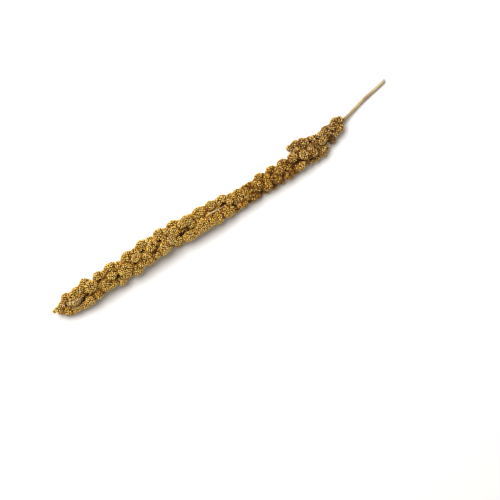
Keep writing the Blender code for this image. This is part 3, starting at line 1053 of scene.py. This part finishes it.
def makeStalk():
    shape = bmesh.new()
    end = stem["length"] + stalk["cutSpare"]
    count = math.ceil((end - stalk["start"]) / stalk["spacing"])
    stations = [stalk["start"] + (end - stalk["start"]) * i / count for i in range(count + 1)]
    widening = (stalk["radiusAtCut"] - stalk["radiusAtHead"]) / (end - stalk["thickensFrom"])
    place, reach, swell = stalk["collar"]
    radii = [stalk["radiusAtHead"] + widening * (s - stalk["thickensFrom"]) for s in stations]
    radii = [(r + swell * math.exp(-(((s - place) / reach) ** 2))) * mm for r, s in zip(radii, stations)]
    points = [stemAt(s) for s in stations]
    sweepTube(shape, points, radii, stalk["sides"], stations)
    layer = shape.verts.layers.float_vector["along"]
    for vert in shape.verts:
        around = vert[layer]
        middle = stemAt(around.z)
        rib = noise.noise(Vector((around.x * 3.1, around.y * 3.1, around.z * 0.03)))
        rib += 0.5 * noise.noise(Vector((around.x * 7, around.y * 7, around.z * 0.06)))
        vert.co += (vert.co - middle) * stalk["ribs"] * rib
    slant = Matrix.Rotation(math.radians(stalk["slant"]), 3, "Z")
    cut = bmesh.ops.bisect_plane(
        shape,
        geom=shape.verts[:] + shape.edges[:] + shape.faces[:],
        plane_co=stemAt(stem["length"]),
        plane_no=slant @ -stemAxes(stem["length"])[0],
        clear_outer=True,
    )
    rim = [item for item in cut["geom_cut"] if isinstance(item, bmesh.types.BMEdge)]
    face = bmesh.ops.contextual_create(shape, geom=rim)["faces"]
    pith = shape.verts.layers.float.new("pith")
    bmesh.ops.inset_region(shape, faces=face, thickness=stalk["rim"] * mm, depth=0, use_even_offset=False)
    bmesh.ops.inset_region(shape, faces=face, thickness=0.05 * mm, depth=-0.12 * mm, use_even_offset=False)
    for vert in face[0].verts:
        vert[pith] = 1
    bmesh.ops.recalc_face_normals(shape, faces=shape.faces)
    piece = finishPiece(shape, "stalkStraw", stalkMaterial, "straw", "stalk")
    piece.data.set_sharp_from_angle(angle=math.radians(45))
    return piece


makeStalk()
print("stalk made")


# bare branchlets and pale chaff that lie on the head
loosePieces = {
    "seed": 11,
    # station, across, height over the seeds and radius along each straw
    "straws": (
        (
            (136.0, 0.4, 0.1, 0.2),
            (138.6, 0.0, 0.2, 0.6),
            (141.6, -0.4, 0.2, 0.7),
            (146.5, -1.0, 0.2, 0.28),
            (151.5, -1.7, 0.1, 0.12),
        ),
        (
            (10.5, 8.7, 0.1, 0.2),
            (11, 5.7, 0.2, 0.3),
            (14, 4.2, 0.2, 0.3),
            (20, 4.0, 0.2, 0.28),
            (25, 2.7, 0.1, 0.15),
        ),
        (
            (14, 2.2, 0.1, 0.15),
            (17, -0.3, 0.2, 0.28),
            (23, -0.8, 0.1, 0.2),
        ),
    ),
    "chaffAt": ((10.6, 6.6), (11.4, 8.1), (13.2, 5.4), (15.4, 4.9), (18, 4.2)),
    "chaffLength": 1.0,
    "chaffLift": 0.15,
    "strawSides": 10,
    "strawSteps": 6,
}


def planPoint(station, across, height):
    return Vector((station - stem["middle"], across, height)) * mm


def topOf(station, across):
    # the highest seed surface at a place in plan
    best = 0
    for cluster in clusters:
        spot = planPoint(station, across, 0)
        away = math.hypot(spot.x - cluster["centre"].x, spot.y - cluster["centre"].y) / mm
        if away < cluster["radius"]:
            best = max(best, cluster["centre"].z / mm + math.sqrt(cluster["radius"] ** 2 - away**2))
    return best


def makeStraws():
    shape = bmesh.new()
    for straw in loosePieces["straws"]:
        table = [(i, x, y, topOf(x, y) + lift, r) for i, (x, y, lift, r) in enumerate(straw)]
        steps = loosePieces["strawSteps"]
        last = len(table) - 1
        values = [between(table, min(i / steps, last - 1e-6)) for i in range(steps * last + 1)]
        points = [planPoint(*value[:3]) for value in values]
        radii = [value[3] * mm for value in values]
        marks = [value[0] for value in values]
        sweepTube(shape, points, radii, loosePieces["strawSides"], marks)
    bmesh.ops.recalc_face_normals(shape, faces=shape.faces)
    return finishPiece(shape, "bareBranchlets", paleStraw, "straw")


def makeChaff():
    draw = random.Random(loosePieces["seed"])
    shape = bmesh.new()
    layer = shape.verts.layers.float_vector.new("along")
    for station, across in loosePieces["chaffAt"]:
        height = topOf(station, across)
        if height == 0:
            continue
        flake = bmesh.ops.create_grid(shape, x_segments=2, y_segments=4, size=0.5)["verts"]
        mark = draw.uniform(0, 300)
        for vert in flake:
            along = vert.co.y
            vert.co.x *= math.sqrt(max(0.06, 1 - (2 * along) ** 2)) * 0.6
            vert.co.z = 0.35 * vert.co.x**2 - 0.25 * along**2
            vert[layer] = Vector((vert.co.x * 6, 0, mark + along))
        turn = Matrix.Rotation(draw.uniform(0, math.tau), 4, "Z")
        lean = Matrix.Rotation(draw.uniform(-0.5, 0.5), 4, "X")
        size = loosePieces["chaffLength"] * draw.uniform(0.8, 1.3) * mm
        spot = planPoint(station, across, height + loosePieces["chaffLift"])
        place = Matrix.Translation(spot) @ turn @ lean @ Matrix.Scale(size, 4)
        bmesh.ops.transform(shape, matrix=place, verts=flake)
    bmesh.ops.solidify(shape, geom=shape.faces[:], thickness=0.06 * mm)
    bmesh.ops.recalc_face_normals(shape, faces=shape.faces)
    return finishPiece(shape, "chaff", chaffMaterial, "seeds")


makeStraws()
makeChaff()
print("loose pieces made")


# floor, light and camera
studio = {
    "floorSize": 6.0,
    "floorColor": (0.72, 0.72, 0.725),
    "skyColor": (1.0, 0.88, 0.72),
    "skyStrength": 0.38,
    "keyPlace": (-0.08, 0.48, 0.87),
    "keySize": 0.9,
    "keyPower": 21.0,
    "fillPlace": (0.5, -0.7, 0.8),
    "fillSize": 1.0,
    "fillPower": 0.5,
    "cameraPlace": (-3.9, -39.5, 900),
    "cameraTurn": -35.08,
    "lens": 85.5,
}


def makeFloor():
    shape = bmesh.new()
    bmesh.ops.create_grid(shape, x_segments=1, y_segments=1, size=studio["floorSize"] / 2)
    mesh = bpy.data.meshes.new("floor")
    shape.to_mesh(mesh)
    shape.free()
    floor = bpy.data.objects.new("floor", mesh)
    bpy.context.scene.collection.objects.link(floor)
    material, tree, shader = newMaterial("floorPaper", 0.9)
    shader.inputs["Base Color"].default_value = (*studio["floorColor"], 1)
    mesh.materials.append(material)


def addLight(name, place, size, power):
    lamp = bpy.data.lights.new(name, "AREA")
    lamp.shape = "DISK"
    lamp.size = size
    lamp.energy = power
    light = bpy.data.objects.new(name, lamp)
    light.location = place
    light.rotation_euler = (-Vector(place)).to_track_quat("-Z", "Y").to_euler()
    bpy.context.scene.collection.objects.link(light)


def makeStudio():
    scene = bpy.context.scene
    world = bpy.data.worlds.new("studio")
    world.use_nodes = True
    sky = world.node_tree.nodes["Background"]
    sky.inputs["Color"].default_value = (*studio["skyColor"], 1)
    sky.inputs["Strength"].default_value = studio["skyStrength"]
    scene.world = world
    addLight("keyLight", studio["keyPlace"], studio["keySize"], studio["keyPower"])
    addLight("fillLight", studio["fillPlace"], studio["fillSize"], studio["fillPower"])
    camera = bpy.data.objects.new("camera", bpy.data.cameras.new("camera"))
    camera.data.lens = studio["lens"]
    camera.data.clip_start = 0.01
    camera.location = Vector(studio["cameraPlace"]) * mm
    camera.rotation_euler = (0, 0, math.radians(studio["cameraTurn"]))
    scene.collection.objects.link(camera)
    scene.camera = camera
    scene.view_settings.view_transform = "Standard"


makeFloor()
makeStudio()
print("studio made")
